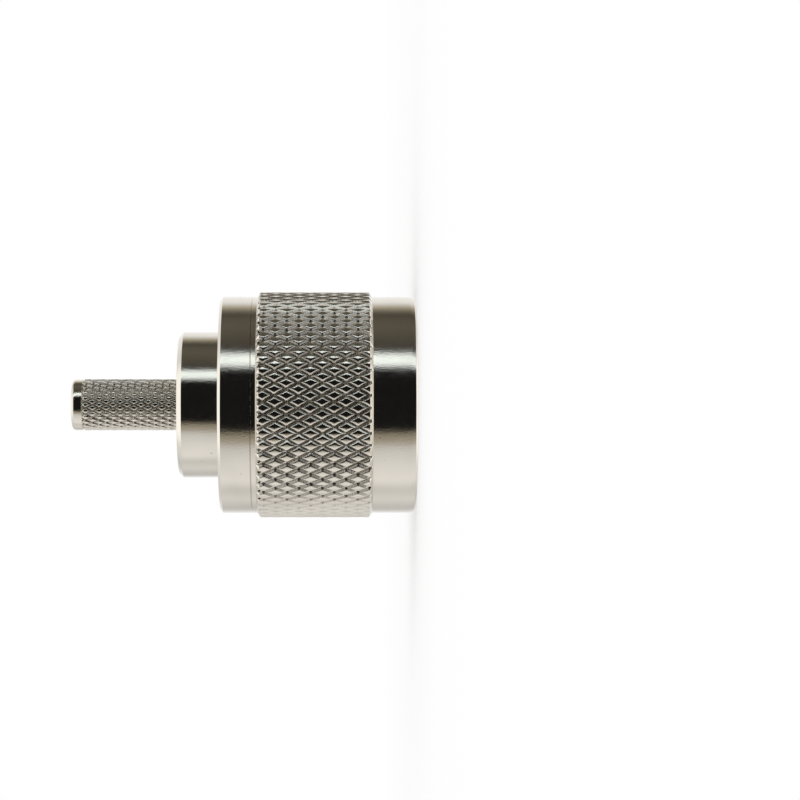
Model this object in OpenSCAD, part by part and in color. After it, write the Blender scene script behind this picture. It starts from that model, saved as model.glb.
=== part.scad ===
// Coaxial plug for crimping to a thin cable, with a knurled coupling nut.
// Millimetres. The plug stands on the mouth of its nut: the origin is the centre of the mouth's plane,
// and +Z runs along the plug's axis to the cable end. Heights are measured from the mouth.

/* [Coupling nut] */
// Length of the nut
nut_length = 16.7; // [16.6:0.05:17]
// Diameter of the two plain bands
band_d = 18.6; // [18.4:0.1:18.8]
// Diameter over the knurl
knurl_d = 19.4; // [19.2:0.1:19.8]
// Height of the first row of diamonds, which the knurl's edge cuts in half
knurl_start = 3.99; // [3.9:0.03:4.2]
// Length of one diamond with its groove
knurl_pitch = 1.98; // [1.8:0.02:2]
// Diamonds around the nut
knurl_count = 56; // [48:1:64]
// Rows of diamonds after the first, half a pitch apart
knurl_rows = 9; // [7:1:10]
// Depth of the knurl's grooves
knurl_depth = 0.23; // [0.1:0.01:0.25]
// Diameter of the thread's crests
thread_minor_d = 14.86; // [14.7:0.02:15]
// Diameter of the plain bore in front of the thread
lead_in_d = 16.2; // [16:0.1:16.4]

/* [Rear body] */
// Diameter of the collar and of the hub inside the nut
collar_d = 12.5; // [12.3:0.1:12.6]
// Height of the collar's cable end
collar_top = 20.25; // [19:0.05:21]
// Overall length of the plug
overall_length = 29.44; // [29:0.01:31]
// Diameter over the knurl of the crimp barrel
barrel_d = 4.4; // [4.3:0.05:4.6]
// Bore for the cable's dielectric
barrel_bore_d = 3.1; // [2.9:0.05:3.2]
// Length of one diamond on the crimp barrel with its groove
barrel_knurl_pitch = 1.187; // [1.1:0.01:1.2]
// Diamonds around the crimp barrel
barrel_knurl_count = 24; // [20:1:28]
// Rows of diamonds along the crimp barrel after the first
barrel_knurl_rows = 13; // [11:1:13]

/* [Outer contact] */
// Outside diameter of the sleeve
sleeve_d = 8.1; // [8:0.01:8.15]
// Bore of the sleeve
sleeve_bore_d = 7; // [6.9:0.01:7.05]
// Height of the sleeve's tip
sleeve_tip = 1.4; // [1.4:0.05:1.8]

/* [Centre contact] */
// Diameter of the pin
pin_d = 1.65; // [1.6:0.01:1.68]
// Height of the pin's tip
pin_tip = 2.9; // [2.6:0.05:3.2]
// Bore of the pot that holds the wire
pot_bore_d = 1.1; // [0.9:0.05:1.2]

/* [Insulator] */
// Height of the insulator's front face
insulator_front = 6.7; // [6:0.1:7]

/* [Gasket] */
// Thickness of the gasket
gasket_t = 1.6; // [1.2:0.1:2]
// Outside diameter of the gasket
gasket_d = 15.2; // [14.9:0.1:15.8]

/* [Retaining ring] */
// Thickness of the ring
ring_t = 0.8; // [0.6:0.05:0.8]
// Opening between the ring's two ends
ring_gap = 2; // [1:0.1:4]
// Slack of the nut along the body
nut_float = 0.3; // [0.1:0.05:0.35]

/* [Hidden] */
$fn = 96;

nickel = [0.79, 0.77, 0.73];
gold = [0.83, 0.66, 0.3];
bronze = [0.72, 0.5, 0.31];
white_plastic = [0.94, 0.93, 0.89];
black_rubber = [0.1, 0.08, 0.07];

// Clearance between pressed or seated round faces
seat_gap = 0.02;
// Share of a knurl's pitch that is land, the rest being groove
land_share = 0.57;
// How far a knurl goes on past its last row, in half pitches
knurl_stop = 0.36;
// Length of the sloping edge at each end of the nut's knurl
knurl_edge = 0.28;
// Turn about the axis, in degrees, of one diamond in the first row
knurl_turn = -88.4;

// Heights inside the nut
lead_in_end = 1.3;
thread_start = 2;
thread_end = 8.3;
relief_start = 9.2;
nut_wall = 13.5;
// Diameter of the relief behind the thread
relief_d = 16.7;
// Bore of the nut's rear wall, which turns on the hub
nut_wall_bore_d = collar_d + 0.2;

// Grooves for the retaining ring: one in the nut, one in the hub
ring_low = 14.94;
ring_high = ring_low + ring_t;
ring_play = 0.04;
nut_groove_d = 13.7;
hub_groove_d = 9.9;
ring_inner_d = 11;
ring_outer_d = nut_groove_d - 0.2;

// Heights on the rear body
flange_front = 11.8;
flange_back = 12.9;
flange_d = 14.4;
sleeve_seat = 14;
insulator_seat = 15.5;
chamber_end = 18;
chamber_d = 3.6;
// Sleeve's shank, wider than its tip, pressed into the hub
shank_d = sleeve_d + 0.4;
gasket_front = flange_front - gasket_t;

// Centre contact
pin_base_d = 1.96;
pin_body_d = 2.4;
pin_shoulder = insulator_front + 0.8;
pin_end = 17;
pot_depth = 4.5;
inspection_d = 0.5;

// Smooth rounded end of the crimp barrel
barrel_lead = 0.95;
barrel_end_d = 3.7;
barrel_knurl_depth = 0.17;

// Point at a fraction of a turn, a radius and a height
function at(turn, r, z) = [r * cos(360 * turn), r * sin(360 * turn), z];

// Where a knurl reaches its full height for the last time, past its last row
function knurl_end(start, pitch, rows) = start + (rows + knurl_stop) * pitch / 2;

// Closed ring whose outside is a diamond knurl: lands between two families of crossed V grooves.
// Rows of crossings lie half a pitch apart, each half a diamond round from the next. The first row
// of diamonds is cut in half by the lower edge, and the upper edge comes a little past the last row.
// Both edges slope down to the foot radius. The inner radius lies inside the metal that carries it.
module knurl_ring(count, rows, start, pitch, depth, r_top, r_foot, r_inner, edge) {
    half_pitch = pitch / 2;
    finish = knurl_end(start, pitch, rows);
    r_root = r_top - depth;
    side = (1 - land_share) / 2;
    per_row = 3 * count;
    per_end = 5 * count;
    // Points of one diamond along the upper edge: the next row's flanks meet at the first, then come
    // the bottom of a groove, the two corners of the land, and the bottom of the other groove
    end_turns = [0, knurl_stop / 2, side + knurl_stop / 2, 1 - side - knurl_stop / 2, 1 - knurl_stop / 2];
    end_radii = [r_root + depth * knurl_stop / (1 - land_share), r_root, r_top, r_top, r_root];
    flat_radii = [for (k = end_turns) r_foot];

    function shift(row) = (row % 2) / 2;
    function corner_ring(row, z, r_crossing, r_land) = [
        for (i = [0 : count - 1]) each [
            at((i + shift(row)) / count, r_crossing, z),
            at((i + shift(row) + side) / count, r_land, z),
            at((i + shift(row) + 1 - side) / count, r_land, z)
        ]
    ];
    function end_ring(z, radii) = [
        for (i = [0 : count - 1], k = [0 : 4]) at((i + shift(rows) + end_turns[k]) / count, radii[k], z)
    ];
    function tips(first_row, way) = [
        for (row = [first_row : first_row + rows - 1], i = [0 : count - 1])
            at((i + shift(row) + 0.5) / count, r_top, start + (row + way * land_share) * half_pitch)
    ];
    function inner_ring(z) = [for (i = [0 : count - 1]) at(i / count, r_inner, z)];

    points = concat(
        [for (row = [0 : rows]) each corner_ring(row, start + row * half_pitch, r_root, r_top)],
        tips(0, 1),
        tips(1, -1),
        end_ring(finish, end_radii),
        corner_ring(0, start - edge, r_foot, r_foot),
        end_ring(finish + edge, flat_radii),
        inner_ring(start - edge),
        inner_ring(finish + edge)
    );
    // Where each group of points begins in the list
    up_tips = per_row * (rows + 1);
    down_tips = up_tips + count * rows;
    high_edge = down_tips + count * rows;
    low_foot = high_edge + per_end;
    high_foot = low_foot + per_row;
    low_inner = high_foot + per_end;
    high_inner = low_inner + count;

    function crossing(row, i) = 3 * (row * count + (i + count) % count);
    function left(row, i) = crossing(row, i) + 1;
    function right(row, i) = crossing(row, i) + 2;
    function up(row, i) = up_tips + row * count + i;
    function down(row, i) = down_tips + (row - 1) * count + i;
    function around(first, size, i) = first + i % size;

    // Upper half of each diamond: its land, then the two groove flanks beside it
    upper = [
        for (row = [0 : rows - 1], i = [0 : count - 1])
        let (above = crossing(row + 1, i + row % 2)) each [
            [left(row, i), up(row, i), right(row, i)],
            [crossing(row, i), above, up(row, i), left(row, i)],
            [right(row, i), up(row, i), above, crossing(row, i + 1)]
        ]
    ];
    // Lower half
    lower = [
        for (row = [1 : rows], i = [0 : count - 1])
        let (below = crossing(row - 1, i + row % 2)) each [
            [left(row, i), right(row, i), down(row, i)],
            [crossing(row, i), left(row, i), down(row, i), below],
            [right(row, i), crossing(row, i + 1), below, down(row, i)]
        ]
    ];
    // From the last row up to the edge: the land, its two flanks, and the foot of the next row's
    last = [
        for (i = [0 : count - 1])
        let (meet = high_edge + 5 * i, before = high_edge + (5 * i + per_end - 1) % per_end) each [
            [left(rows, i), meet + 2, meet + 3, right(rows, i)],
            [crossing(rows, i), meet + 1, meet + 2, left(rows, i)],
            [right(rows, i), meet + 3, meet + 4, crossing(rows, i + 1)],
            [crossing(rows, i), meet, meet + 1],
            [crossing(rows, i), before, meet]
        ]
    ];
    // Sloping edges
    low_slope = [
        for (i = [0 : per_row - 1])
            [i, around(0, per_row, i + 1), around(low_foot, per_row, i + 1), low_foot + i]
    ];
    high_slope = [
        for (i = [0 : per_end - 1])
            [around(high_edge, per_end, i + 1), high_edge + i, high_foot + i, around(high_foot, per_end, i + 1)]
    ];
    // Flat end faces and the inner wall, all inside the metal
    hidden_faces = [
        for (i = [0 : count - 1])
        let (next = (i + 1) % count) each [
            [low_inner + i, for (k = [0 : 2]) low_foot + 3 * i + k, low_foot + 3 * next, low_inner + next],
            [high_inner + next, high_foot + 5 * next, for (k = [4 : -1 : 0]) high_foot + 5 * i + k, high_inner + i],
            [low_inner + i, low_inner + next, high_inner + next, high_inner + i]
        ]
    ];
    polyhedron(points, concat(upper, lower, last, low_slope, high_slope, hidden_faces), convexity = 6);
}

module coupling_nut() {
    band_r = band_d / 2;
    edge_chamfer = 0.2;
    rear_chamfer_r = 0.3;
    rear_chamfer_z = 0.24;
    // Fine turned line behind the knurl
    line_z = knurl_end(knurl_start, knurl_pitch, knurl_rows) + 0.71;
    line_half = 0.06;
    color(nickel)
    union() {
        rotate_extrude() polygon([
            [lead_in_d / 2 + 0.3, 0],
            [band_r - edge_chamfer, 0],
            [band_r, edge_chamfer],
            [band_r, line_z - line_half],
            [band_r - line_half, line_z],
            [band_r, line_z + line_half],
            [band_r, nut_length - rear_chamfer_z],
            [band_r - rear_chamfer_r, nut_length],
            [nut_wall_bore_d / 2 + 0.15, nut_length],
            [nut_wall_bore_d / 2, nut_length - 0.15],
            [nut_wall_bore_d / 2, ring_high + ring_play],
            [nut_groove_d / 2, ring_high + ring_play],
            [nut_groove_d / 2, ring_low - ring_play],
            [nut_wall_bore_d / 2, ring_low - ring_play],
            [nut_wall_bore_d / 2, nut_wall],
            [relief_d / 2, nut_wall],
            [relief_d / 2, relief_start],
            [thread_minor_d / 2, thread_end],
            [thread_minor_d / 2, thread_start],
            [lead_in_d / 2, lead_in_end],
            [lead_in_d / 2, 0.3]
        ]);
        rotate([0, 0, knurl_turn - 180 / knurl_count])
        knurl_ring(knurl_count, knurl_rows, knurl_start, knurl_pitch, knurl_depth,
            knurl_d / 2, band_r + 0.05, band_r - 0.4, knurl_edge);
    }
}

// Open spring ring that keeps the nut on the hub
module retaining_ring() {
    gap_angle = 2 * asin(ring_gap / ring_outer_d);
    color(bronze)
    rotate([0, 0, gap_angle / 2])
    rotate_extrude(angle = 360 - gap_angle)
    translate([ring_inner_d / 2, ring_low]) square([(ring_outer_d - ring_inner_d) / 2, ring_t]);
}

module gasket() {
    bevel = 0.15;
    bore_r = shank_d / 2 + 0.05;
    color(black_rubber)
    rotate_extrude() polygon([
        [bore_r, gasket_front + bevel],
        [bore_r + bevel, gasket_front],
        [gasket_d / 2 - bevel, gasket_front],
        [gasket_d / 2, gasket_front + bevel],
        [gasket_d / 2, flange_front],
        [bore_r, flange_front]
    ]);
}

// One turned piece: flange and hub inside the nut, collar behind it, knurled barrel for the crimp
module rear_body() {
    barrel_r = barrel_d / 2;
    core_r = barrel_r - barrel_knurl_depth - 0.03;
    lead_r = barrel_r - 0.02;
    lead_start = overall_length - barrel_lead;
    bore_r = barrel_bore_d / 2;
    mouth_chamfer = 0.1;
    // Quarter round from the barrel's side to its end face
    function lead_point(a) = [
        barrel_end_d / 2 + (lead_r - barrel_end_d / 2) * cos(a),
        lead_start + 0.1 + (barrel_lead - 0.1) * sin(a)
    ];
    color(nickel)
    union() {
        rotate_extrude() polygon(concat(
            [
                [shank_d / 2 + seat_gap, flange_front],
                [flange_d / 2 - 0.1, flange_front],
                [flange_d / 2, flange_front + 0.1],
                [flange_d / 2, flange_back],
                [collar_d / 2, flange_back],
                [collar_d / 2, ring_low - nut_float - ring_play],
                [hub_groove_d / 2, ring_low - nut_float - ring_play],
                [hub_groove_d / 2, ring_high + ring_play / 2],
                [collar_d / 2, ring_high + ring_play / 2],
                [collar_d / 2, collar_top - 0.4],
                [collar_d / 2 - 0.3, collar_top - 0.1],
                [collar_d / 2 - 0.42, collar_top],
                [core_r, collar_top],
                [core_r, lead_start],
                [lead_r, lead_start]
            ],
            [for (a = [0 : 15 : 90]) lead_point(a)],
            [
                [bore_r + mouth_chamfer, overall_length],
                [bore_r, overall_length - mouth_chamfer],
                [bore_r, chamber_end],
                [chamber_d / 2, chamber_end],
                [chamber_d / 2, insulator_seat],
                [sleeve_bore_d / 2, insulator_seat],
                [sleeve_bore_d / 2, sleeve_seat],
                [shank_d / 2 + seat_gap, sleeve_seat]
            ]
        ));
        // The knurl's upper end lies in the plain lead, so its start follows from its length
        knurl_ring(barrel_knurl_count, barrel_knurl_rows,
            lead_start - 0.1 - knurl_end(0, barrel_knurl_pitch, barrel_knurl_rows),
            barrel_knurl_pitch, barrel_knurl_depth,
            barrel_r, core_r + 0.03, bore_r + 0.2, 0.15);
    }
}

// Plain sleeve that enters the mating jack; its wider shank is pressed into the hub
module outer_contact() {
    tip_chamfer = 0.15;
    color(nickel)
    rotate_extrude() polygon([
        [sleeve_bore_d / 2 + tip_chamfer, sleeve_tip],
        [sleeve_d / 2 - tip_chamfer, sleeve_tip],
        [sleeve_d / 2, sleeve_tip + tip_chamfer],
        [sleeve_d / 2, gasket_front],
        [shank_d / 2, gasket_front],
        [shank_d / 2, sleeve_seat],
        [sleeve_bore_d / 2, sleeve_seat],
        [sleeve_bore_d / 2, sleeve_tip + tip_chamfer]
    ]);
}

module insulator() {
    outer_r = sleeve_bore_d / 2 - seat_gap;
    color(white_plastic)
    rotate_extrude() polygon([
        [pin_base_d / 2 + seat_gap, insulator_front],
        [outer_r - 0.1, insulator_front],
        [outer_r, insulator_front + 0.1],
        [outer_r, insulator_seat],
        [pin_body_d / 2 + seat_gap, insulator_seat],
        [pin_body_d / 2 + seat_gap, pin_shoulder],
        [pin_base_d / 2 + seat_gap, pin_shoulder]
    ]);
}

// Pin with a rounded tip, a shoulder against the insulator and a pot for the cable's wire
module centre_contact() {
    pin_r = pin_d / 2;
    pot_floor = pin_end - pot_depth;
    color(gold)
    difference() {
        union() {
            translate([0, 0, pin_tip + pin_r]) sphere(pin_r);
            rotate_extrude() polygon([
                [0, pin_tip + pin_r],
                [pin_r, pin_tip + pin_r],
                [pin_r, insulator_front],
                [pin_base_d / 2, insulator_front],
                [pin_base_d / 2, pin_shoulder],
                [pin_body_d / 2, pin_shoulder],
                [pin_body_d / 2, pin_end],
                [0, pin_end]
            ]);
        }
        translate([0, 0, pot_floor]) cylinder(h = pot_depth + 1, d = pot_bore_d);
        translate([0, 0, pot_floor + inspection_d]) rotate([0, 90, 0]) cylinder(h = pin_body_d, d = inspection_d);
    }
}

coupling_nut();
retaining_ring();
gasket();
rear_body();
outer_contact();
insulator();
centre_contact();
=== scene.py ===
"""Looks of a coaxial crimp plug with a knurled coupling nut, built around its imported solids.

The part's own code works in millimetres. Every mesh and place is turned into metres when Blender gets it.
"""

import random
from dataclasses import dataclass
from math import atan2, ceil, cos, floor, hypot, inf, pi, radians, sin, tan

import bmesh
import bpy
from mathutils import Matrix, Vector


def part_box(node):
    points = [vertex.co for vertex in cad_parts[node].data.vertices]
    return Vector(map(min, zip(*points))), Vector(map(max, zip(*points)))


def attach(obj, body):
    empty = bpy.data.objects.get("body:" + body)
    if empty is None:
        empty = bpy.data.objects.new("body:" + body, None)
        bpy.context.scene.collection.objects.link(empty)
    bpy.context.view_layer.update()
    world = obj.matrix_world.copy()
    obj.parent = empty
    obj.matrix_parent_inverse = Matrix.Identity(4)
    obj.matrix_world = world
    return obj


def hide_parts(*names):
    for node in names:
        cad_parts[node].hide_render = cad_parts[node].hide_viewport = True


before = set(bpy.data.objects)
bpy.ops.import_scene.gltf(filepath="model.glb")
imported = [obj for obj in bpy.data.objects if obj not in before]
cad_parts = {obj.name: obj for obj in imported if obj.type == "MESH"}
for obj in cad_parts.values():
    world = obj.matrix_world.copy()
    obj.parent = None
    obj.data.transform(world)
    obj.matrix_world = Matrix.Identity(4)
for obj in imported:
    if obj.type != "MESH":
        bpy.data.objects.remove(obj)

bl_info = {
    "name": "Coaxial crimp plug",
    "version": (1, 0, 0),
    "blender": (4, 5, 0),
    "location": "3D View > Sidebar > Coaxial plug",
    "description": "Turned, knurled and plated pieces of a coaxial crimp plug, and the stage it stands on",
    "category": "Object",
}

# Metres in a millimetre
MM = 0.001
# Sides of every turned surface
SIDES = 256
# Steps of a quarter-turn fillet
FILLET_STEPS = 6
# Length of the narrow face beside a fillet or a seam, which keeps its neighbour's shading true
HOLD = 0.02
# Edges that turn more than this are shaded sharp
SHARP = radians(38)
# How far a knurl goes on past its last row of diamonds, in rows
KNURL_STOP = 0.36

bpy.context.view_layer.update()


def box_mm(node):
    """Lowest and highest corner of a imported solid, in millimetres."""
    low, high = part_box(node)
    return low / MM, high / MM


NUT_LOW, NUT_HIGH = box_mm("coupling_nut")
BODY_LOW, BODY_HIGH = box_mm("rear_body")
SLEEVE_LOW, SLEEVE_HIGH = box_mm("outer_contact")
INSULATOR_LOW, INSULATOR_HIGH = box_mm("insulator")
PIN_LOW, PIN_HIGH = box_mm("centre_contact")
GASKET_LOW, GASKET_HIGH = box_mm("gasket")
RING_LOW, RING_HIGH = box_mm("retaining_ring")


def length(name, description, value, low, high):
    """A size of the part, given in millimetres."""
    return bpy.props.FloatProperty(
        name=name, description=description, default=value * MM, min=low * MM, max=high * MM,
        unit="LENGTH", subtype="DISTANCE", precision=5,
    )


def colour(name, description, value):
    """A colour that a user may change."""
    return bpy.props.FloatVectorProperty(
        name=name, description=description, default=value, min=0, max=1, size=3, subtype="COLOR",
    )


class NutSettings(bpy.types.PropertyGroup):
    """Sizes of the coupling nut."""

    band_d: length("Band diameter", "Diameter of the two plain bands", 18.6, 18, 19)
    knurl_d: length("Knurl diameter", "Diameter over the knurl", 2 * NUT_HIGH.x, 19, 20)
    knurl_start: length("Knurl start", "Height of the first row of diamonds", 3.99, 3.9, 4.2)
    knurl_pitch: length("Diamond length", "Length of a diamond along the nut", 1.98, 1.8, 2)
    knurl_rows: bpy.props.IntProperty(
        name="Rows", description="Rows of diamonds after the first, half a diamond apart",
        default=9, min=7, max=10,
    )
    knurl_depth: length("Groove depth", "Depth of the knurl's grooves", 0.23, 0.1, 0.3)
    knurl_count: bpy.props.IntProperty(
        name="Diamonds", description="Diamonds around the nut", default=56, min=48, max=64
    )
    thread_pitch: length("Thread pitch", "Pitch of the coupling thread", 1.058, 0.8, 1.3)
    thread_depth: length("Thread depth", "Depth of the coupling thread", 0.51, 0.3, 0.6)


class BodySettings(bpy.types.PropertyGroup):
    """Sizes of the rear body and its crimp barrel."""

    collar_d: length("Collar diameter", "Diameter of the collar and the hub", 12.5, 12, 13)
    collar_top: length("Collar end", "Height of the collar's cable end", 20.25, 19, 21)
    barrel_d: length("Barrel diameter", "Diameter over the knurl of the crimp barrel", 4.4, 4, 5)
    knurl_pitch: length("Diamond length", "Length of a diamond along the barrel", 1.187, 0.9, 1.5)
    knurl_depth: length("Groove depth", "Depth of the barrel knurl's grooves", 0.17, 0.1, 0.2)
    knurl_count: bpy.props.IntProperty(
        name="Diamonds", description="Diamonds around the barrel", default=24, min=20, max=28
    )
    knurl_rows: bpy.props.IntProperty(
        name="Rows", description="Rows of diamonds after the first, half a diamond apart",
        default=13, min=11, max=13,
    )


class FinishSettings(bpy.types.PropertyGroup):
    """Colours of the finishes."""

    nickel: colour("Nickel", "Colour of the bright nickel plate", (0.68, 0.64, 0.57))
    gold: colour("Gold", "Colour of the gold plate", (0.86, 0.6, 0.2))
    bronze: colour("Bronze", "Colour of the spring bronze", (0.62, 0.38, 0.2))
    fluoropolymer: colour("Fluoropolymer", "Colour of the insulator", (0.86, 0.84, 0.78))
    rubber: colour("Rubber", "Colour of the gasket", (0.018, 0.013, 0.011))


class StageSettings(bpy.types.PropertyGroup):
    """The camera and the light."""

    camera_distance: length("Camera distance", "Distance from the plug's axis to the camera", 240, 150, 400)
    frame_width: length("Frame width", "Width of what the camera sees at the axis", 68.97, 50, 100)
    ambient: bpy.props.FloatProperty(
        name="Soft light", description="Level of the light from all round", default=0.9, min=0, max=2
    )
    floor: colour("Floor", "Colour of the floor", (0.98, 0.98, 0.98))


# ---------------------------------------------------------------- turned surfaces


def mm(value):
    """A setting, which is in metres, in millimetres."""
    return value / MM


def angle_of(vert):
    """Angle of a point round the axis, from 0 to a full turn."""
    return atan2(vert.co.y, vert.co.x) % (2 * pi)


def ring(bm, r, z):
    """The points of a circle round the axis, or the one point on it where the radius is 0."""
    if r == 0:
        return [bm.verts.new((0, 0, z))]
    return [
        bm.verts.new((r * cos(2 * pi * i / SIDES), r * sin(2 * pi * i / SIDES), z))
        for i in range(SIDES)
    ]


def join_rings(bm, first, second):
    """Faces between two rings of equal count, or a fan where one of them is a point."""
    for i in range(SIDES):
        j = (i + 1) % SIDES
        corners = [first[i % len(first)], first[j % len(first)]]
        corners += [second[j % len(second)], second[i % len(second)]]
        bm.faces.new(list(dict.fromkeys(corners)))


def join_loops(bm, first, second):
    """Triangles between two closed loops of any count, walked together round the axis."""
    first = sorted(first, key=angle_of)
    second = sorted(second, key=angle_of)

    def turn(loop, i):
        return angle_of(loop[i % len(loop)]) + 2 * pi * (i // len(loop))

    i = j = 0
    while i < len(first) or j < len(second):
        next_first = turn(first, i + 1) if i < len(first) else inf
        next_second = turn(second, j + 1) if j < len(second) else inf
        a, b = first[i % len(first)], second[j % len(second)]
        if next_first <= next_second:
            bm.faces.new((a, first[(i + 1) % len(first)], b))
            i += 1
        else:
            bm.faces.new((a, second[(j + 1) % len(second)], b))
            j += 1


def rounded(corners):
    """Points of a profile whose corners are (radius, height, fillet radius).

    A sharp corner has no fillet radius. Each fillet becomes an arc with a hold beside it.
    """
    points = []
    for i, corner in enumerate(corners):
        here = Vector(corner[:2])
        fillet = corner[2] if len(corner) > 2 else 0
        if not fillet:
            points.append(tuple(here))
            continue
        back = (Vector(corners[i - 1][:2]) - here).normalized()
        ahead = (Vector(corners[(i + 1) % len(corners)][:2]) - here).normalized()
        half = back.angle(ahead) / 2
        reach = fillet / tan(half)
        centre = here + (back + ahead).normalized() * fillet / sin(half)
        start = here + back * reach - centre
        sweep = start.angle_signed(here + ahead * reach - centre)
        steps = max(2, ceil(FILLET_STEPS * abs(sweep) / (pi / 2)))
        points.append(tuple(here + back * (reach + HOLD)))
        for step in range(steps + 1):
            turned = Matrix.Rotation(-sweep * step / steps, 2) @ start
            points.append(tuple(centre + turned))
        points.append(tuple(here + ahead * (reach + HOLD)))
    return points


def turned_strip(bm, profile):
    """An open turned surface through the points of a profile. Returns its first and last ring."""
    rings = [ring(bm, r, z) for r, z in profile]
    for first, second in zip(rings, rings[1:]):
        join_rings(bm, first, second)
    return rings[0], rings[-1]


def turned_solid(bm, profile):
    """A closed turned piece from a closed profile, or from one whose two ends lie on the axis."""
    first, last = turned_strip(bm, profile)
    if len(first) > 1:
        join_rings(bm, last, first)


def finish_piece(name, bm, material, body, node):
    """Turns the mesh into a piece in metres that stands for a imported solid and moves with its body."""
    bmesh.ops.recalc_face_normals(bm, faces=bm.faces)
    open_edges = [edge for edge in bm.edges if len(edge.link_faces) != 2]
    if open_edges:
        raise RuntimeError(f"{name} is not closed: {len(open_edges)} edges")
    for face in bm.faces:
        face.smooth = True
    for edge in bm.edges:
        edge.smooth = edge.calc_face_angle(0) < SHARP
    bmesh.ops.scale(bm, vec=(MM, MM, MM), verts=bm.verts)
    mesh = bpy.data.meshes.new(name)
    bm.to_mesh(mesh)
    bm.free()
    mesh.materials.append(material)
    piece = bpy.data.objects.new(name, mesh)
    bpy.context.scene.collection.objects.link(piece)
    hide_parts(node)
    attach(piece, body)
    return piece


# ---------------------------------------------------------------- knurls and threads


@dataclass
class Knurl:
    """Two crossed families of V grooves round a turned piece, with crowned lands between them."""

    count: int
    pitch: float
    radius: float
    depth: float
    crown: float
    low: float
    high: float
    foot_r: float
    edge: float
    centre_z: float
    centre_turn: float
    seed: int

    # Where the points of one cell lie between a groove and the next of its family
    STEPS = (0, 0.17, 0.23, 0.34, 0.5, 0.66, 0.77, 0.83)
    # Half of a groove's width, as a share of the distance to the next
    HALF_GROOVE = 0.2
    # Depth of the second family, as a share of the first
    SECOND = 0.86
    # Unevenness of the grooves: sideways as a share of their distance, and in depth
    SIDE_PLAY = 0.022
    DEPTH_PLAY = 0.09

    def grooves(self):
        """Sideways offset and depth of each groove of both families, the same in each run."""
        dice = random.Random(self.seed)

        def groove(share):
            sideways = dice.uniform(-self.SIDE_PLAY, self.SIDE_PLAY)
            return sideways, share * (1 + dice.uniform(-self.DEPTH_PLAY, self.DEPTH_PLAY))

        return [[groove(share) for _ in range(self.count)] for share in (1, self.SECOND)]

    def across(self, family, index):
        """Place across one family, and the groove's depth and the land's crown there, as shares."""
        cell, step = divmod(index, len(self.STEPS))
        share = self.STEPS[step]
        here, there = family[cell % self.count], family[(cell + 1) % self.count]
        place = cell + share + here[0] * (1 - share) + there[0] * share
        nearest = share if share < 0.5 else 1 - share
        depth = (here if share < 0.5 else there)[1]
        groove = depth * max(0, 1 - nearest / self.HALF_GROOVE)
        from_middle = (0.5 - nearest) / (0.5 - self.HALF_GROOVE)
        return place, groove, max(0, 1 - from_middle ** 2)

    def point(self, families, a, b):
        """The point at two lattice numbers, one for each family of grooves."""
        s, s_groove, s_crown = self.across(families[0], a)
        t, t_groove, t_crown = self.across(families[1], b)
        angle = 2 * pi * ((s + t) / 2 / self.count + self.centre_turn)
        z = self.centre_z + (s - t) / 2 * self.pitch
        land = self.radius - self.crown + self.crown * s_crown * t_crown
        r = land - self.depth * max(s_groove, t_groove)
        return r * cos(angle), r * sin(angle), z

    def sheet(self):
        """The knurled surface as a mesh of its own, trimmed and turned down to its foot at both ends."""
        bm = bmesh.new()
        families = self.grooves()
        steps = len(self.STEPS)
        around = steps * self.count
        half = steps // 2
        rows_down = floor((self.low - self.edge - self.centre_z) / (self.pitch / 2)) - 1
        rows_up = ceil((self.high + self.edge - self.centre_z) / (self.pitch / 2)) + 1
        verts = {}

        def vert(a, b):
            """One vertex for each place: going once round adds the same to both numbers."""
            lap = a // around
            key = (a - lap * around, b - lap * around)
            if key not in verts:
                verts[key] = bm.verts.new(self.point(families, *key))
            return verts[key]

        for row in range(rows_down, rows_up):
            for cell in range(self.count):
                for i in range(steps):
                    for j in range(steps):
                        a, b = cell * steps + i, (cell - row) * steps + j
                        square = [vert(a, b), vert(a + 1, b), vert(a + 1, b + 1), vert(a, b + 1)]
                        # Each square is split along the ridge from a land's corner to the crossing
                        if (i < half) != (j < half):
                            square = square[1:] + square[:1]
                        bm.faces.new(square[:3])
                        bm.faces.new((square[0], square[2], square[3]))
        self.trim(bm)
        return bm

    def trim(self, bm):
        """Cuts the sheet at both ends and turns it down to the foot."""
        ends = ((self.low, -1), (self.high, 1))
        for end, way in ends:
            for share in (0, 0.5, 1):
                bmesh.ops.bisect_plane(
                    bm, geom=bm.verts[:] + bm.edges[:] + bm.faces[:], dist=1e-5,
                    plane_co=(0, 0, end + way * self.edge * share), plane_no=(0, 0, way),
                    clear_outer=share == 1,
                )
        for vert in bm.verts:
            for end, way in ends:
                beyond = (vert.co.z - end) * way
                if beyond > 0:
                    slope = self.radius - (self.radius - self.foot_r) * min(1, beyond / self.edge)
                    r = hypot(vert.co.x, vert.co.y)
                    vert.co.xy *= min(r, slope) / r


def rim(bm, z):
    """The open edge's points of a trimmed sheet at one height."""
    return [vert for vert in bm.verts if vert.is_boundary and abs(vert.co.z - z) < 0.01]


def add_sheet(bm, sheet, *heights):
    """Moves a trimmed sheet into a piece and returns its open edges' points at the heights given."""
    known = {vert: bm.verts.new(vert.co) for vert in sheet.verts}
    for face in sheet.faces:
        bm.faces.new([known[vert] for vert in face.verts])
    rims = [[known[vert] for vert in rim(sheet, z)] for z in heights]
    sheet.free()
    return rims


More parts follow.
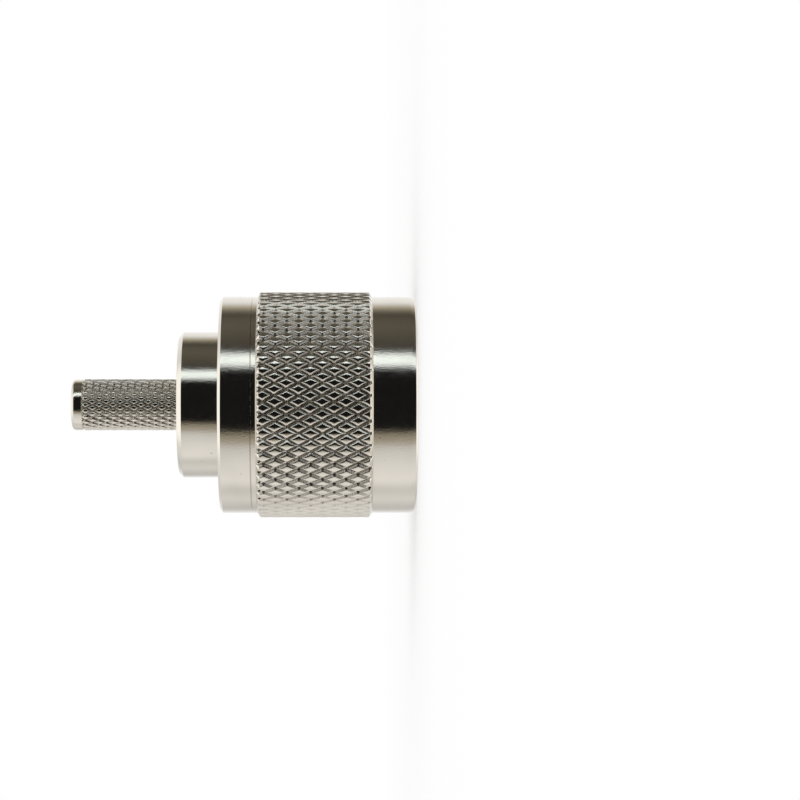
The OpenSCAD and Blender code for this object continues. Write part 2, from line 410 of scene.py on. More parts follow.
def thread_sheet(low, low_r, start, end, high, high_r, minor_r, depth, pitch):
    """The inside thread of the nut as a helical surface, opened to plain bores below and above it."""
    rows = 10
    # Share of the pitch taken by the root, the two flanks and the crest, in that order
    root, flank = 0.14, 0.36
    bm = bmesh.new()
    first = floor((low - pitch) / pitch) * rows
    last = ceil((high + pitch) / pitch) * rows
    steps = [
        (0, 1), (root / 2, 1), (root / 2 + 0.02, 0.96), (root / 2 + flank / 2, 0.5),
        (root / 2 + flank - 0.02, 0.04), (root / 2 + flank, 0),
        (1 - root / 2 - flank, 0), (1 - root / 2 - flank + 0.02, 0.04),
        (1 - root / 2 - flank / 2, 0.5), (1 - root / 2, 1),
    ]

    def vert_at(turn, index):
        lap, step = divmod(index, rows)
        share, cut = steps[step]
        z = (turn / SIDES + lap + share) * pitch
        r = minor_r + depth * cut
        # Cones open the thread at both ends
        r = max(r, low_r - (low_r - minor_r) * (z - low) / (start - low))
        r = max(r, high_r - (high_r - minor_r) * (high - z) / (high - end))
        angle = 2 * pi * turn / SIDES
        return bm.verts.new((r * cos(angle), r * sin(angle), z))

    grid = [[vert_at(turn, index) for index in range(first, last + 1)] for turn in range(SIDES)]
    for turn in range(SIDES):
        # A full turn climbs by one pitch, so the last column meets the first one lap higher
        lap = rows if turn == SIDES - 1 else 0
        beside = grid[(turn + 1) % SIDES]
        for i in range(len(grid[0]) - 1 - lap):
            if turn == SIDES - 1:
                corners = (grid[turn][i], beside[i + lap], beside[i + lap + 1], grid[turn][i + 1])
            else:
                corners = (grid[turn][i], beside[i], beside[i + 1], grid[turn][i + 1])
            bm.faces.new(corners)
    for z, way in ((low, -1), (high, 1)):
        bmesh.ops.bisect_plane(
            bm, geom=bm.verts[:] + bm.edges[:] + bm.faces[:], dist=1e-5,
            plane_co=(0, 0, z), plane_no=(0, 0, way), clear_outer=True,
        )
    return bm


# ---------------------------------------------------------------- finishes


class Finish:
    """The nodes of one material, added with short calls. Places are in millimetres in the part's frame."""

    def __init__(self, name, **surface):
        self.material = bpy.data.materials.new(name)
        self.material.use_nodes = True
        self.tree = self.material.node_tree
        self.tree.nodes.clear()
        self.surface = self.node("ShaderNodeBsdfPrincipled", **surface)
        output = self.node("ShaderNodeOutputMaterial")
        self.tree.links.new(self.surface.outputs["BSDF"], output.inputs["Surface"])
        coordinates = self.node("ShaderNodeTexCoord").outputs["Object"]
        self.place = self.vector("SCALE", coordinates, scale=1 / MM)
        self.xyz = self.node("ShaderNodeSeparateXYZ", Vector=self.place).outputs

    def node(self, kind, settings=(), **inputs):
        """A node, its settings, and its inputs by name: each is a value or another node's output."""
        made = self.tree.nodes.new(kind)
        for key, value in dict(settings).items():
            setattr(made, key, value)
        for key, value in inputs.items():
            self.feed(made.inputs[key.replace("_", " ")], value)
        return made

    def feed(self, socket, value):
        """Links an output to a socket, or sets the socket's own value."""
        if isinstance(value, bpy.types.NodeSocket):
            self.tree.links.new(value, socket)
        else:
            socket.default_value = value

    def maths(self, operation, *values, clamp=False):
        made = self.node("ShaderNodeMath", {"operation": operation, "use_clamp": clamp})
        for socket, value in zip(made.inputs, values):
            self.feed(socket, value)
        return made.outputs[0]

    def vector(self, operation, first, scale=1.0):
        made = self.node("ShaderNodeVectorMath", {"operation": operation}, Scale=scale)
        self.feed(made.inputs[0], first)
        return made.outputs[0]

    def mix(self, factor, first, second):
        """First where the factor is 0 and second where it is 1."""
        made = self.node("ShaderNodeMix", {"data_type": "RGBA"})
        self.feed(made.inputs[0], factor)
        self.feed(made.inputs[6], (*first, 1) if isinstance(first, tuple) else first)
        self.feed(made.inputs[7], (*second, 1) if isinstance(second, tuple) else second)
        return made.outputs[2]

    def fade(self, value, low, high, to_low=0.0, to_high=1.0):
        """A smooth step of a value from low to high."""
        made = self.node("ShaderNodeMapRange", {"interpolation_type": "SMOOTHSTEP"})
        for socket, given in zip(made.inputs, (value, low, high, to_low, to_high)):
            self.feed(socket, given)
        return made.outputs[0]

    def noise(self, scale, detail=2.0, roughness=0.5, place=None):
        """Noise whose scale is its features to the millimetre."""
        made = self.node("ShaderNodeTexNoise", Scale=scale, Detail=detail, Roughness=roughness,
                         Vector=place or self.place)
        return made.outputs[0]

    def from_axis(self):
        """Distance from the plug's axis."""
        x, y = self.xyz[0], self.xyz[1]
        squares = self.maths("ADD", self.maths("MULTIPLY", x, x), self.maths("MULTIPLY", y, y))
        return self.maths("SQRT", squares)

    def turned_place(self, across, along, round_):
        """A place made of the radius, the height and the turn round the axis, each with its own scale.

        Noise at this place makes the fine rings that a lathe tool leaves.
        """
        x, y, z = self.xyz
        r = self.from_axis()
        turn = self.maths("ARCTAN2", y, x)
        ring_place = self.node("ShaderNodeCombineXYZ")
        self.feed(ring_place.inputs[0], self.maths("MULTIPLY", r, across))
        self.feed(ring_place.inputs[1], self.maths("MULTIPLY", z, along))
        self.feed(ring_place.inputs[2], self.maths("MULTIPLY", self.maths("SINE", turn), round_))
        return ring_place.outputs[0]

    def bump(self, height, depth, under=None):
        """Relief of a height from 0 to 1, whose depth is in millimetres, on top of another relief."""
        made = self.node("ShaderNodeBump", Height=height, Distance=depth * MM, Strength=1.0)
        if under is not None:
            self.feed(made.inputs["Normal"], under)
        return made.outputs[0]


def nickel_finish(name, settings, knurl=None, scratched=False):
    """Bright nickel plate on turned brass: faint tool rings, plating grain, and a few dark specks.

    The knurl's grooves were pressed in and not turned, so the plate is dull there.
    """
    finish = Finish(name, Metallic=1.0, IOR=1.5)
    plate = tuple(settings.nickel)
    dull = tuple(0.5 * value for value in plate)
    cloud = finish.noise(0.35, detail=1)
    tint = finish.mix(finish.fade(cloud, 0.35, 0.7), plate, tuple(0.95 * value for value in plate))
    speck = finish.fade(finish.noise(3.1, detail=1), 0.765, 0.79)
    tint = finish.mix(finish.maths("MULTIPLY", speck, 0.8), tint, dull)
    if scratched:
        tint = finish.mix(scratch(finish), tint, (0.05, 0.035, 0.03))
    finish.feed(finish.surface.inputs["Base Color"], tint)
    rough = finish.fade(finish.noise(1.3, detail=3), 0.3, 0.75, 0.085, 0.13)
    if knurl:
        # How far under the lands the dull plate is complete and where it begins, and how much duller it is
        dull_depth, dull_start, dullness = 0.07, 0.005, 0.17
        z = finish.xyz[2]
        land_r = knurl.radius - knurl.crown
        pressed = finish.fade(finish.from_axis(), land_r - dull_depth, land_r - dull_start, 1.0, 0.0)
        pressed = finish.maths("MULTIPLY", pressed, finish.maths("GREATER_THAN", z, knurl.low))
        pressed = finish.maths("MULTIPLY", pressed, finish.maths("LESS_THAN", z, knurl.high))
        rough = finish.maths("ADD", rough, finish.maths("MULTIPLY", pressed, dullness))
    finish.feed(finish.surface.inputs["Roughness"], rough)
    rings = finish.noise(1.0, detail=3, roughness=0.65, place=finish.turned_place(9, 9, 0.6))
    grain = finish.noise(9, detail=2, roughness=0.5)
    relief = finish.bump(rings, 0.002)
    relief = finish.bump(grain, 0.008, relief)
    finish.feed(finish.surface.inputs["Normal"], relief)
    return finish.material


def scratch(finish):
    """Where one broken scratch runs along the knurl: 1 on it and 0 elsewhere."""
    x, y, z = finish.xyz
    turn = radians(-90 - 44.5)
    beside = finish.maths("ABSOLUTE", finish.maths("ADD", finish.maths("MULTIPLY", x, sin(turn)),
                                                   finish.maths("MULTIPLY", y, -cos(turn))))
    outward = finish.maths("ADD", finish.maths("MULTIPLY", x, cos(turn)),
                           finish.maths("MULTIPLY", y, sin(turn)))
    line = finish.fade(beside, 0.03, 0.09, 1.0, 0.0)
    line = finish.maths("MULTIPLY", line, finish.maths("GREATER_THAN", outward, 5.0))
    line = finish.maths("MULTIPLY", line, finish.fade(z, 7.0, 7.3))
    line = finish.maths("MULTIPLY", line, finish.fade(z, 9.7, 10.0, 1.0, 0.0))
    breaks = finish.fade(finish.noise(2.4, detail=1), 0.42, 0.55)
    return finish.maths("MULTIPLY", line, breaks)


def fluoropolymer_finish(settings):
    """White insulator: slightly waxy, with the fine rings of the facing cut."""
    finish = Finish("white_fluoropolymer", Roughness=0.42, IOR=1.37)
    finish.surface.inputs["Subsurface Weight"].default_value = 0.25
    finish.surface.inputs["Subsurface Radius"].default_value = (1.0, 0.9, 0.8)
    finish.surface.inputs["Subsurface Scale"].default_value = 0.4 * MM
    pure = tuple(settings.fluoropolymer)
    shade = tuple(0.95 * value for value in pure)
    tint = finish.mix(finish.fade(finish.noise(0.9), 0.3, 0.7), pure, shade)
    finish.feed(finish.surface.inputs["Base Color"], tint)
    rings = finish.noise(1.0, detail=2, place=finish.turned_place(11, 5, 0.3))
    finish.feed(finish.surface.inputs["Normal"], finish.bump(rings, 0.006))
    return finish.material


def gold_finish(settings):
    """Gold plate on the pin, with faint tool rings and thinner plate in patches."""
    finish = Finish("gold_plate", Metallic=1.0)
    plate = tuple(settings.gold)
    thin = (0.9 * plate[0], 0.82 * plate[1], 0.8 * plate[2])
    tint = finish.mix(finish.fade(finish.noise(1.6), 0.35, 0.7), plate, thin)
    finish.feed(finish.surface.inputs["Base Color"], tint)
    finish.feed(finish.surface.inputs["Roughness"], finish.fade(finish.noise(4), 0.3, 0.7, 0.16, 0.26))
    rings = finish.noise(1.0, detail=2, place=finish.turned_place(14, 14, 0.4))
    finish.feed(finish.surface.inputs["Normal"], finish.bump(rings, 0.003))
    return finish.material


def rubber_finish(settings):
    """Black gasket rubber: fine grain and a little bloom."""
    finish = Finish("black_rubber", IOR=1.5)
    black = tuple(settings.rubber)
    bloom = tuple(2.2 * value for value in black)
    tint = finish.mix(finish.fade(finish.noise(1.1, detail=4), 0.45, 0.75), black, bloom)
    finish.feed(finish.surface.inputs["Base Color"], tint)
    finish.feed(finish.surface.inputs["Roughness"], finish.fade(finish.noise(2), 0.3, 0.7, 0.42, 0.58))
    finish.feed(finish.surface.inputs["Normal"], finish.bump(finish.noise(12, detail=3), 0.012))
    return finish.material


def bronze_finish(settings):
    """Spring wire rolled flat: drawn lines round the ring and darker patches from tempering."""
    finish = Finish("spring_bronze", Metallic=1.0)
    bright = tuple(settings.bronze)
    tempered = (0.7 * bright[0], 0.6 * bright[1], 0.55 * bright[2])
    tint = finish.mix(finish.fade(finish.noise(0.7, detail=3), 0.4, 0.7), bright, tempered)
    finish.feed(finish.surface.inputs["Base Color"], tint)
    finish.feed(finish.surface.inputs["Roughness"], finish.fade(finish.noise(3), 0.3, 0.7, 0.22, 0.36))
    lines = finish.noise(1.0, detail=3, place=finish.turned_place(16, 16, 0.5))
    finish.feed(finish.surface.inputs["Normal"], finish.bump(lines, 0.006))
    return finish.material


# ---------------------------------------------------------------- operators


class PLUG_OT_coupling_nut(bpy.types.Operator):
    """Turns the coupling nut, cuts its thread and rolls its knurl"""

    bl_idname = "plug.coupling_nut"
    bl_label = "Coupling nut"

    def execute(self, context):
        nut = context.scene.plug_nut
        band_r = mm(nut.band_d) / 2
        knurl_r = mm(nut.knurl_d) / 2
        edge = 0.28
        half_pitch = mm(nut.knurl_pitch) / 2
        low = mm(nut.knurl_start)
        high = low + (nut.knurl_rows + KNURL_STOP) * half_pitch
        knurl = Knurl(
            count=nut.knurl_count, pitch=2 * half_pitch, radius=knurl_r, depth=mm(nut.knurl_depth),
            crown=0.03, low=low, high=high, foot_r=band_r, edge=edge, centre_z=low + half_pitch,
            centre_turn=-88.4 / 360, seed=5,
        )
        bm = bmesh.new()
        low_rim, high_rim = add_sheet(bm, knurl.sheet(), low - edge, high + edge)

        # Bores, from the mouth inward
        lead_in_r, lead_in_end, thread_start = 8.1, 1.3, 2.0
        minor_r, thread_end, relief_r, relief_start = 7.43, 8.3, 8.35, 9.2
        thread = thread_sheet(
            lead_in_end, lead_in_r, thread_start, thread_end, relief_start, relief_r,
            minor_r, mm(nut.thread_depth), mm(nut.thread_pitch),
        )
        thread_low, thread_high = add_sheet(bm, thread, lead_in_end, relief_start)

        bottom = NUT_LOW.z
        first, last = turned_strip(bm, rounded([
            (lead_in_r, lead_in_end - HOLD),
            (lead_in_r, bottom + 0.3, 0.04),
            (lead_in_r + 0.3, bottom, 0.05),
            (band_r - 0.2, bottom, 0.06),
            (band_r - 0.06, bottom + 0.14, 0.1),
            (band_r, bottom + 0.5, 0.5),
            (band_r, low - edge - HOLD),
        ]))
        join_loops(bm, first, thread_low)
        join_loops(bm, last, low_rim)

        wall_z, wall_r = 13.5, mm(context.scene.plug_body.collar_d) / 2 + 0.1
        groove_r = RING_HIGH.x + 0.1
        groove_low, groove_high = RING_LOW.z - 0.04, RING_HIGH.z + 0.04
        top = NUT_HIGH.z
        line_z, line_half = high + 0.71, 0.06
        first, last = turned_strip(bm, rounded([
            (band_r, high + edge + HOLD),
            (band_r, line_z - line_half - HOLD),
            (band_r, line_z - line_half),
            (band_r - line_half, line_z),
            (band_r, line_z + line_half),
            (band_r, line_z + line_half + HOLD),
            (band_r, top - 0.24, 0.03),
            (band_r - 0.3, top, 0.03),
            (wall_r + 0.15, top, 0.03),
            (wall_r, top - 0.15, 0.03),
            (wall_r, groove_high),
            (groove_r, groove_high, 0.05),
            (groove_r, groove_low, 0.05),
            (wall_r, groove_low),
            (wall_r, wall_z, 0.05),
            (relief_r, wall_z, 0.1),
            (relief_r, relief_start + HOLD),
        ]))
        join_loops(bm, first, high_rim)
        join_loops(bm, last, thread_high)
        material = nickel_finish("nickel_plate_nut", context.scene.plug_finish, knurl, scratched=True)
        finish_piece("coupling_nut_knurled", bm, material, "nut", "coupling_nut")
        return {"FINISHED"}


class PLUG_OT_rear_body(bpy.types.Operator):
    """Turns the flange, hub, collar and crimp barrel from one bar, and knurls the barrel"""

    bl_idname = "plug.rear_body"
    bl_label = "Rear body"

    def execute(self, context):
        body = context.scene.plug_body
        collar_r = mm(body.collar_d) / 2
        collar_top = mm(body.collar_top)
        barrel_r = mm(body.barrel_d) / 2
        end = BODY_HIGH.z
        lead_start = end - 0.95
        foot_r = barrel_r - 0.12
        edge = 0.12
        half_pitch = mm(body.knurl_pitch) / 2
        high = lead_start - 0.02 - edge
        # The solid's knurl, whose rows this one keeps, ends this much nearer to the cable
        solid_beyond = 0.04
        low = high + solid_beyond - (body.knurl_rows + KNURL_STOP) * half_pitch
        knurl = Knurl(
            count=body.knurl_count, pitch=2 * half_pitch, radius=barrel_r, depth=mm(body.knurl_depth),
            crown=0.02, low=low, high=high, foot_r=foot_r, edge=edge, centre_z=low - half_pitch,
            centre_turn=0.5 / body.knurl_count, seed=11,
        )
        bm = bmesh.new()
        low_rim, high_rim = add_sheet(bm, knurl.sheet(), low - edge, high + edge)

        flange_r = 7.2
        flange_front, flange_back = BODY_LOW.z, 12.9
        bore_r, chamber_r, chamber_end = 1.55, 1.8, 18.0
        groove_r, groove_low, groove_high = 4.95, 14.6, 15.76
        seat_r, seat_end = SLEEVE_HIGH.x + 0.02, SLEEVE_HIGH.z
        liner_r, liner_end = 3.5, INSULATOR_HIGH.z
        end_r = 1.85
        lead_r = barrel_r - 0.02
        first, last = turned_strip(bm, rounded([
            (foot_r, high + edge + HOLD),
            (lead_r, lead_start + 0.03, 0.03),
            (lead_r, end, lead_r - end_r),
            (bore_r + 0.1, end, 0.02),
            (bore_r, end - 0.1, 0.02),
            (bore_r, chamber_end, 0.05),
            (chamber_r, chamber_end, 0.05),
            (chamber_r, liner_end),
            (liner_r, liner_end),
            (liner_r, seat_end),
            (seat_r, seat_end),
            (seat_r, flange_front),
            (flange_r - 0.1, flange_front, 0.02),
            (flange_r, flange_front + 0.1, 0.02),
            (flange_r, flange_back, 0.06),
            (collar_r, flange_back, 0.12),
            (collar_r, groove_low),
            (groove_r, groove_low, 0.05),
            (groove_r, groove_high, 0.05),
            (collar_r, groove_high),
            (collar_r, collar_top - 0.4, 0.04),
            (collar_r - 0.3, collar_top - 0.1, 0.03),
            (collar_r - 0.42, collar_top, 0.03),
            (foot_r, collar_top, 0.05),
            (foot_r, low - edge - HOLD),
        ]))
        join_loops(bm, first, high_rim)
        join_loops(bm, last, low_rim)
        material = nickel_finish("nickel_plate_body", context.scene.plug_finish, knurl)
        finish_piece("rear_body_turned", bm, material, "plug_body", "rear_body")
        return {"FINISHED"}


class PLUG_OT_outer_contact(bpy.types.Operator):
    """Turns the plain sleeve that enters the mating jack"""

    bl_idname = "plug.outer_contact"
    bl_label = "Outer contact"

    def execute(self, context):
        bore_r, sleeve_r, shank_r = 3.5, 4.05, SLEEVE_HIGH.x
        tip, shoulder, end = SLEEVE_LOW.z, GASKET_LOW.z, SLEEVE_HIGH.z
        bm = bmesh.new()
        turned_solid(bm, rounded([
            (bore_r + 0.15, tip, 0.04),
            (sleeve_r - 0.15, tip, 0.04),
            (sleeve_r, tip + 0.15, 0.05),
            (sleeve_r, shoulder, 0.03),
            (shank_r, shoulder, 0.03),
            (shank_r, end, 0.03),
            (bore_r, end, 0.03),
            (bore_r, tip + 0.15, 0.05),
        ]))
        material = nickel_finish("nickel_plate_sleeve", context.scene.plug_finish)
        finish_piece("outer_contact_sleeve", bm, material, "plug_body", "outer_contact")
        return {"FINISHED"}


class PLUG_OT_insulator(bpy.types.Operator):
    """Turns the white insulator that holds the pin"""

    bl_idname = "plug.insulator"
    bl_label = "Insulator"

    def execute(self, context):
        outer_r = INSULATOR_HIGH.x
        front, shoulder, end = INSULATOR_LOW.z, INSULATOR_LOW.z + 0.8, INSULATOR_HIGH.z
        neck_r, hole_r = 1.0, PIN_HIGH.x + 0.02
        bm = bmesh.new()
        turned_solid(bm, rounded([
            (neck_r, front, 0.04),
            (outer_r, front, 0.12),
            (outer_r, end, 0.06),
            (hole_r, end, 0.04),
            (hole_r, shoulder),
            (neck_r, shoulder),
        ]))
        material = fluoropolymer_finish(context.scene.plug_finish)
        finish_piece("insulator_turned", bm, material, "plug_body", "insulator")
        return {"FINISHED"}


class PLUG_OT_centre_contact(bpy.types.Operator):
    """Turns the gold pin and drills its wire pot and inspection hole"""

    bl_idname = "plug.centre_contact"
    bl_label = "Centre contact"

    def execute(self, context):
        pin_r, base_r, body_r, pot_r = 0.825, 0.98, PIN_HIGH.x, 0.55
        tip, face, end = PIN_LOW.z, INSULATOR_LOW.z, PIN_HIGH.z
        shoulder, pot_floor = face + 0.8, end - 4.5
        tip_steps = 14
        nose = [
            (pin_r * sin(pi / 2 * i / tip_steps), tip + pin_r * (1 - cos(pi / 2 * i / tip_steps)))
            for i in range(1, tip_steps + 1)
        ]
        bm = bmesh.new()
        turned_solid(bm, [(0, tip)] + nose + rounded([
            (pin_r, tip + pin_r + HOLD),
            (pin_r, face, 0.03),
            (base_r, face, 0.03),
            (base_r, shoulder),
            (body_r, shoulder),
            (body_r, end, 0.04),
            (pot_r, end, 0.06),
            (pot_r, pot_floor + 0.15, 0.03),
        ]) + [(0, pot_floor)])
        self.drill(bm, pot_floor + 0.5, 0.25, pot_r, body_r)
        material = gold_finish(context.scene.plug_finish)
        finish_piece("centre_contact_pin", bm, material, "plug_body", "centre_contact")
        return {"FINISHED"}

    def drill(self, bm, z, hole_r, inner_r, outer_r):
        """Cuts the inspection hole, from the pot to the +X side, with a boolean."""
        cutter_sides = 32
        turn = Matrix.Rotation(pi / 2, 4, "Y")
        middle = Matrix.Translation(((inner_r + outer_r) / 2, 0, z))
        reach = outer_r - inner_r + 0.3
        drill_bm = bmesh.new()
        bmesh.ops.create_cone(
            drill_bm, cap_ends=True, segments=cutter_sides, radius1=hole_r, radius2=hole_r, depth=reach,
            matrix=middle @ turn,
        )
        holders = []
        for source in (bm, drill_bm):
            bmesh.ops.recalc_face_normals(source, faces=source.faces)
            mesh = bpy.data.meshes.new("drilling")
            source.to_mesh(mesh)
            holder = bpy.data.objects.new("drilling", mesh)
            bpy.context.scene.collection.objects.link(holder)
            holders.append(holder)
        drill_bm.free()
        pin, cutter = holders
        cut = pin.modifiers.new("inspection_hole", "BOOLEAN")
        cut.operation = "DIFFERENCE"
        cut.solver = "EXACT"
        cut.object = cutter
        evaluated = pin.evaluated_get(bpy.context.evaluated_depsgraph_get())
        drilled = bpy.data.meshes.new_from_object(evaluated)
        bm.clear()
        bm.from_mesh(drilled)
        bpy.data.meshes.remove(drilled)
        for holder in holders:
            mesh = holder.data
            bpy.data.objects.remove(holder)
            bpy.data.meshes.remove(mesh)


class PLUG_OT_gasket(bpy.types.Operator):
    """Moulds the rubber gasket at the bottom of the nut"""

    bl_idname = "plug.gasket"
    bl_label = "Gasket"

    def execute(self, context):
        outer_r, bore_r = GASKET_HIGH.x, SLEEVE_HIGH.x + 0.05
        front, back = GASKET_LOW.z, GASKET_HIGH.z
        bm = bmesh.new()
        turned_solid(bm, rounded([
            (bore_r, front, 0.18),
            (outer_r, front, 0.2),
            (outer_r, back, 0.05),
            (bore_r, back, 0.05),
        ]))
        material = rubber_finish(context.scene.plug_finish)
        finish_piece("gasket_moulded", bm, material, "plug_body", "gasket")
        return {"FINISHED"}


class PLUG_OT_retaining_ring(bpy.types.Operator):
    """Gives the retaining ring its bronze finish"""

    bl_idname = "plug.retaining_ring"
    bl_label = "Retaining ring"

    def execute(self, context):
        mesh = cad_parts["retaining_ring"].data
        material = bronze_finish(context.scene.plug_finish)
        mesh.materials.clear()
        mesh.materials.append(material)
        return {"FINISHED"}


class PLUG_OT_stage(bpy.types.Operator):
    """Sets the floor, the light, the wall that the polish mirrors, and the camera"""

    bl_idname = "plug.stage"
    bl_label = "Stage"

    def execute(self, context):
        settings = context.scene.plug_stage
        self.camera(context.scene, settings)
        self.floor(settings)
        self.world(context.scene, settings)
        self.mirror_dome()
        self.lamp()
        context.scene.view_settings.view_transform = "Standard"
        return {"FINISHED"}

    def camera(self, scene, settings):
        """A level camera, lying on its side: the cable end is to the left and +X is up."""
        distance = mm(settings.camera_distance)
        eye = Vector((0, -distance, 7.37)) * MM
        aim = Vector((0.41, 0, 1.29)) * MM
        forward = (aim - eye).normalized()
        right = forward.cross(Vector((1, 0, 0))).normalized()
        up = right.cross(forward)
        data = bpy.data.cameras.new("camera")
        data.sensor_width = 36
        data.lens = data.sensor_width * distance / mm(settings.frame_width)
        data.clip_start = 0.005
        camera = bpy.data.objects.new("camera", data)
        turn = Matrix((right, up, -forward)).transposed().to_4x4()
        camera.matrix_world = Matrix.Translation(eye) @ turn
        scene.collection.objects.link(camera)
        scene.camera = camera

    def floor(self, settings):
        """A pale floor that shows white and keeps the plug's shadow. It is seen from above only."""
        half = 3.0
        mesh = bpy.data.meshes.new("floor")
        corners = [(-half, -half, 0), (half, -half, 0), (half, half, 0), (-half, half, 0)]
        mesh.from_pydata(corners, [], [(0, 1, 2, 3)])
        floor = bpy.data.objects.new("floor", mesh)
        bpy.context.scene.collection.objects.link(floor)
        finish = Finish("pale_floor", Roughness=0.9)
        grain = finish.noise(0.02, detail=3)
        pale = tuple(settings.floor)
        tint = finish.mix(grain, pale, tuple(0.985 * value for value in pale))
        finish.feed(finish.surface.inputs["Base Color"], tint)
        finish.surface.inputs["Specular IOR Level"].default_value = 0
        nodes = finish.tree.nodes
        output = next(node for node in nodes if node.type == "OUTPUT_MATERIAL")
        # Near the plug the floor's shading shows through its white, and far off it turns white
        white = finish.node("ShaderNodeEmission", Color=(1, 1, 1, 1), Strength=1.0)
        shown = finish.node("ShaderNodeMixShader")
        away = finish.node("ShaderNodeVectorMath", {"operation": "LENGTH"})
        finish.feed(away.inputs[0], finish.place)
        whiteness = finish.fade(away.outputs["Value"], 40, 160, 0.35, 1.0)
        looked_at = finish.node("ShaderNodeLightPath").outputs["Is Camera Ray"]
        finish.feed(shown.inputs[0], finish.maths("MULTIPLY", looked_at, whiteness))
        finish.feed(shown.inputs[1], finish.surface.outputs[0])
        finish.feed(shown.inputs[2], white.outputs[0])
        sided = finish.node("ShaderNodeMixShader")
        finish.feed(sided.inputs[0], finish.node("ShaderNodeNewGeometry").outputs["Backfacing"])
        finish.feed(sided.inputs[1], shown.outputs[0])
        finish.feed(sided.inputs[2], finish.node("ShaderNodeBsdfTransparent").outputs[0])
        finish.feed(output.inputs["Surface"], sided.outputs[0])
        mesh.materials.append(finish.material)
        floor.visible_diffuse = False
        floor.visible_glossy = False
        floor.visible_transmission = False
        floor.visible_shadow = False

    def world(self, scene, settings):
        """White where it is looked at or mirrored, and a plain soft light elsewhere."""
        world = bpy.data.worlds.new("studio")
        world.use_nodes = True
        tree = world.node_tree
        tree.nodes.clear()
        path = tree.nodes.new("ShaderNodeLightPath")
        seen = tree.nodes.new("ShaderNodeMath")
        seen.operation = "ADD"
        tree.links.new(path.outputs["Is Camera Ray"], seen.inputs[0])
        tree.links.new(path.outputs["Is Glossy Ray"], seen.inputs[1])
        shown = tree.nodes.new("ShaderNodeMath")
        shown.operation = "ADD"
        shown.use_clamp = True
        tree.links.new(seen.outputs[0], shown.inputs[0])
        tree.links.new(path.outputs["Is Transmission Ray"], shown.inputs[1])
        soft = tree.nodes.new("ShaderNodeBackground")
        soft.inputs["Color"].default_value = (1, 1, 1, 1)
        soft.inputs["Strength"].default_value = settings.ambient
        white = tree.nodes.new("ShaderNodeBackground")
        white.inputs["Color"].default_value = (1, 1, 1, 1)
        white.inputs["Strength"].default_value = 1.0
        either = tree.nodes.new("ShaderNodeMixShader")
        tree.links.new(shown.outputs[0], either.inputs[0])
        tree.links.new(soft.outputs[0], either.inputs[1])
        tree.links.new(white.outputs[0], either.inputs[2])
        output = tree.nodes.new("ShaderNodeOutputWorld")
        tree.links.new(either.outputs[0], output.inputs["Surface"])
        scene.world = world

    # What stands round the plug, by its angle from the front toward +X: (degrees, brightness, tint)
    NEUTRAL = (1.0, 1.0, 1.0)
    COOL = (0.9, 1.0, 1.03)
    WARM = (1.1, 1.0, 0.8)
    AROUND = (
        (-164, 0.95, NEUTRAL), (-146, 0.68, NEUTRAL), (-134, 0.76, NEUTRAL), (-120, 0.93, NEUTRAL),
        (-101, 0.82, NEUTRAL), (-88, 1.08, NEUTRAL), (-66, 0.98, NEUTRAL), (-47, 0.8, NEUTRAL),
        (-38, 0.38, WARM), (-31, 0.34, WARM), (-28, 0.012, NEUTRAL), (39.5, 0.011, NEUTRAL),
        (42, 1.5, COOL), (54, 1.5, COOL), (57, 0.064, NEUTRAL), (68, 0.085, WARM), (90, 0.128, WARM),
        (104, 0.11, WARM), (111, 0.07, WARM), (120, 0.24, WARM), (128, 0.56, WARM), (134, 0.85, NEUTRAL),
        (140, 1.08, NEUTRAL),
    )

    def mirror_dome(self):
        """A dome all round with a dark front, a light strip, a shade and a pale lower side.

        Only polished faces mirror it. Toward its poles, on the plug's axis, it turns white and then brighter.
        """
        radius, sides = 1.5, 64
        pole_brightness = 1.42
        bm = bmesh.new()
        bmesh.ops.create_uvsphere(bm, u_segments=sides, v_segments=sides // 2, radius=radius)
        mesh = bpy.data.meshes.new("mirror_dome")
        bm.to_mesh(mesh)
        bm.free()
        dome = bpy.data.objects.new("mirror_dome", mesh)
        bpy.context.scene.collection.objects.link(dome)
        finish = Finish("mirror_dome")
        x, y, z = finish.xyz
        around = finish.maths("ARCTAN2", x, finish.maths("MULTIPLY", y, -1.0))
        degrees = finish.maths("MULTIPLY", around, 180 / pi)
        share = finish.maths("ADD", finish.maths("DIVIDE", degrees, 360.0), 0.5)
        ramp = finish.node("ShaderNodeValToRGB", Fac=share)
        stops = ramp.color_ramp.elements
        brightest = 2.0
        while len(stops) < len(self.AROUND):
            stops.new(0.5)
        for stop, (angle, brightness, tint) in zip(stops, self.AROUND):
            stop.position = angle / 360 + 0.5
            stop.color = (*(brightness / brightest * value for value in tint), 1)
        rise = finish.maths("MULTIPLY", finish.maths("ARCTAN2", z, finish.from_axis()), 180 / pi)
        away = finish.maths("ABSOLUTE", rise)
        white = (1 / brightest,) * 3
        pole = (pole_brightness / brightest,) * 3
        tint = finish.mix(finish.fade(away, 30, 50), ramp.outputs[0], white)
        tint = finish.mix(finish.fade(away, 52, 66), tint, pole)
        glow = finish.node("ShaderNodeEmission", Color=tint, Strength=brightest)
        output = next(node for node in finish.tree.nodes if node.type == "OUTPUT_MATERIAL")
        finish.feed(output.inputs["Surface"], glow.outputs[0])
        finish.material.cycles.emission_sampling = "NONE"
        mesh.materials.append(finish.material)
        dome.visible_camera = False
        dome.visible_diffuse = False
        dome.visible_transmission = False
        dome.visible_shadow = False

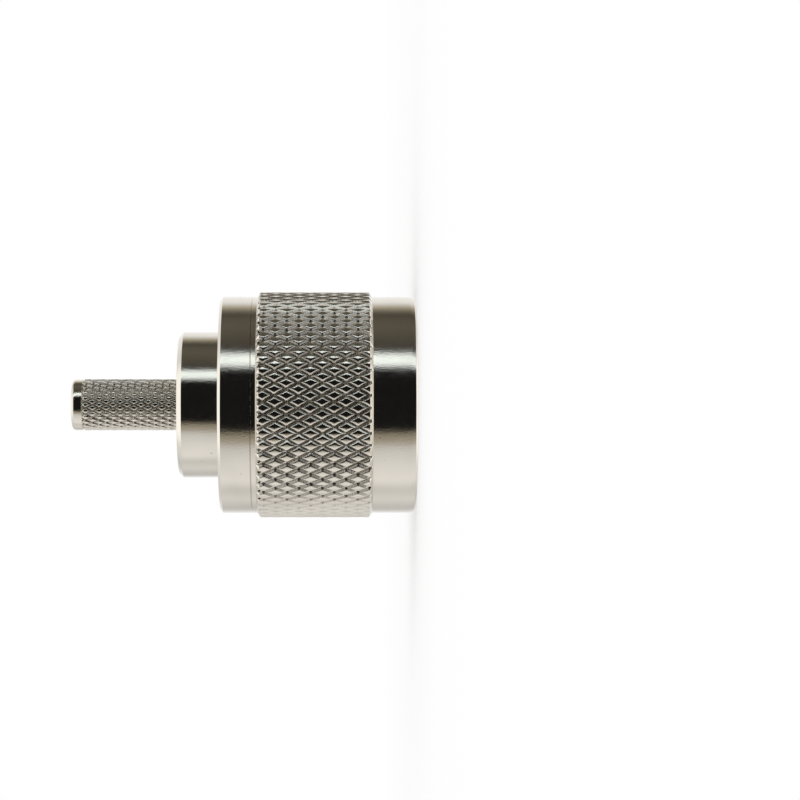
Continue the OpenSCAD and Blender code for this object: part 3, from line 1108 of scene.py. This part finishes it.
    def lamp(self):
        """A broad soft lamp above the front left, which the polish doesn't mirror."""
        data = bpy.data.lights.new("soft_lamp", "AREA")
        data.size = 0.5
        data.energy = 0.9
        lamp = bpy.data.objects.new("soft_lamp", data)
        spot = Vector((0.35, -0.35, 0.55))
        lamp.matrix_world = Matrix.Translation(spot) @ spot.to_track_quat("Z", "Y").to_matrix().to_4x4()
        lamp.visible_glossy = False
        bpy.context.scene.collection.objects.link(lamp)


class PLUG_PT_panel(bpy.types.Panel):
    """Lists the plug's settings and pieces"""

    bl_idname = "PLUG_PT_panel"
    bl_label = "Coaxial plug"
    bl_space_type = "VIEW_3D"
    bl_region_type = "UI"
    bl_category = "Coaxial plug"

    def draw(self, context):
        for group in ("plug_nut", "plug_body", "plug_finish", "plug_stage"):
            settings = getattr(context.scene, group)
            box = self.layout.box()
            for name in settings.bl_rna.properties.keys():
                if name not in ("rna_type", "name"):
                    box.prop(settings, name)
        for operator in OPERATORS:
            self.layout.operator(operator.bl_idname)


OPERATORS = (
    PLUG_OT_stage,
    PLUG_OT_rear_body,
    PLUG_OT_outer_contact,
    PLUG_OT_insulator,
    PLUG_OT_centre_contact,
    PLUG_OT_gasket,
    PLUG_OT_retaining_ring,
    PLUG_OT_coupling_nut,
)
GROUPS = {
    "plug_nut": NutSettings,
    "plug_body": BodySettings,
    "plug_finish": FinishSettings,
    "plug_stage": StageSettings,
}


def register():
    for group in GROUPS.values():
        bpy.utils.register_class(group)
    for name, group in GROUPS.items():
        setattr(bpy.types.Scene, name, bpy.props.PointerProperty(type=group))
    for operator in OPERATORS:
        bpy.utils.register_class(operator)
    bpy.utils.register_class(PLUG_PT_panel)


def unregister():
    bpy.utils.unregister_class(PLUG_PT_panel)
    for operator in reversed(OPERATORS):
        bpy.utils.unregister_class(operator)
    for name, group in GROUPS.items():
        delattr(bpy.types.Scene, name)
        bpy.utils.unregister_class(group)


def main():
    """Builds every piece and the stage."""
    register()
    bpy.ops.plug.stage()
    bpy.ops.plug.rear_body()
    bpy.ops.plug.outer_contact()
    bpy.ops.plug.insulator()
    bpy.ops.plug.centre_contact()
    bpy.ops.plug.gasket()
    bpy.ops.plug.retaining_ring()
    bpy.ops.plug.coupling_nut()


if __name__ == "__main__":
    main()
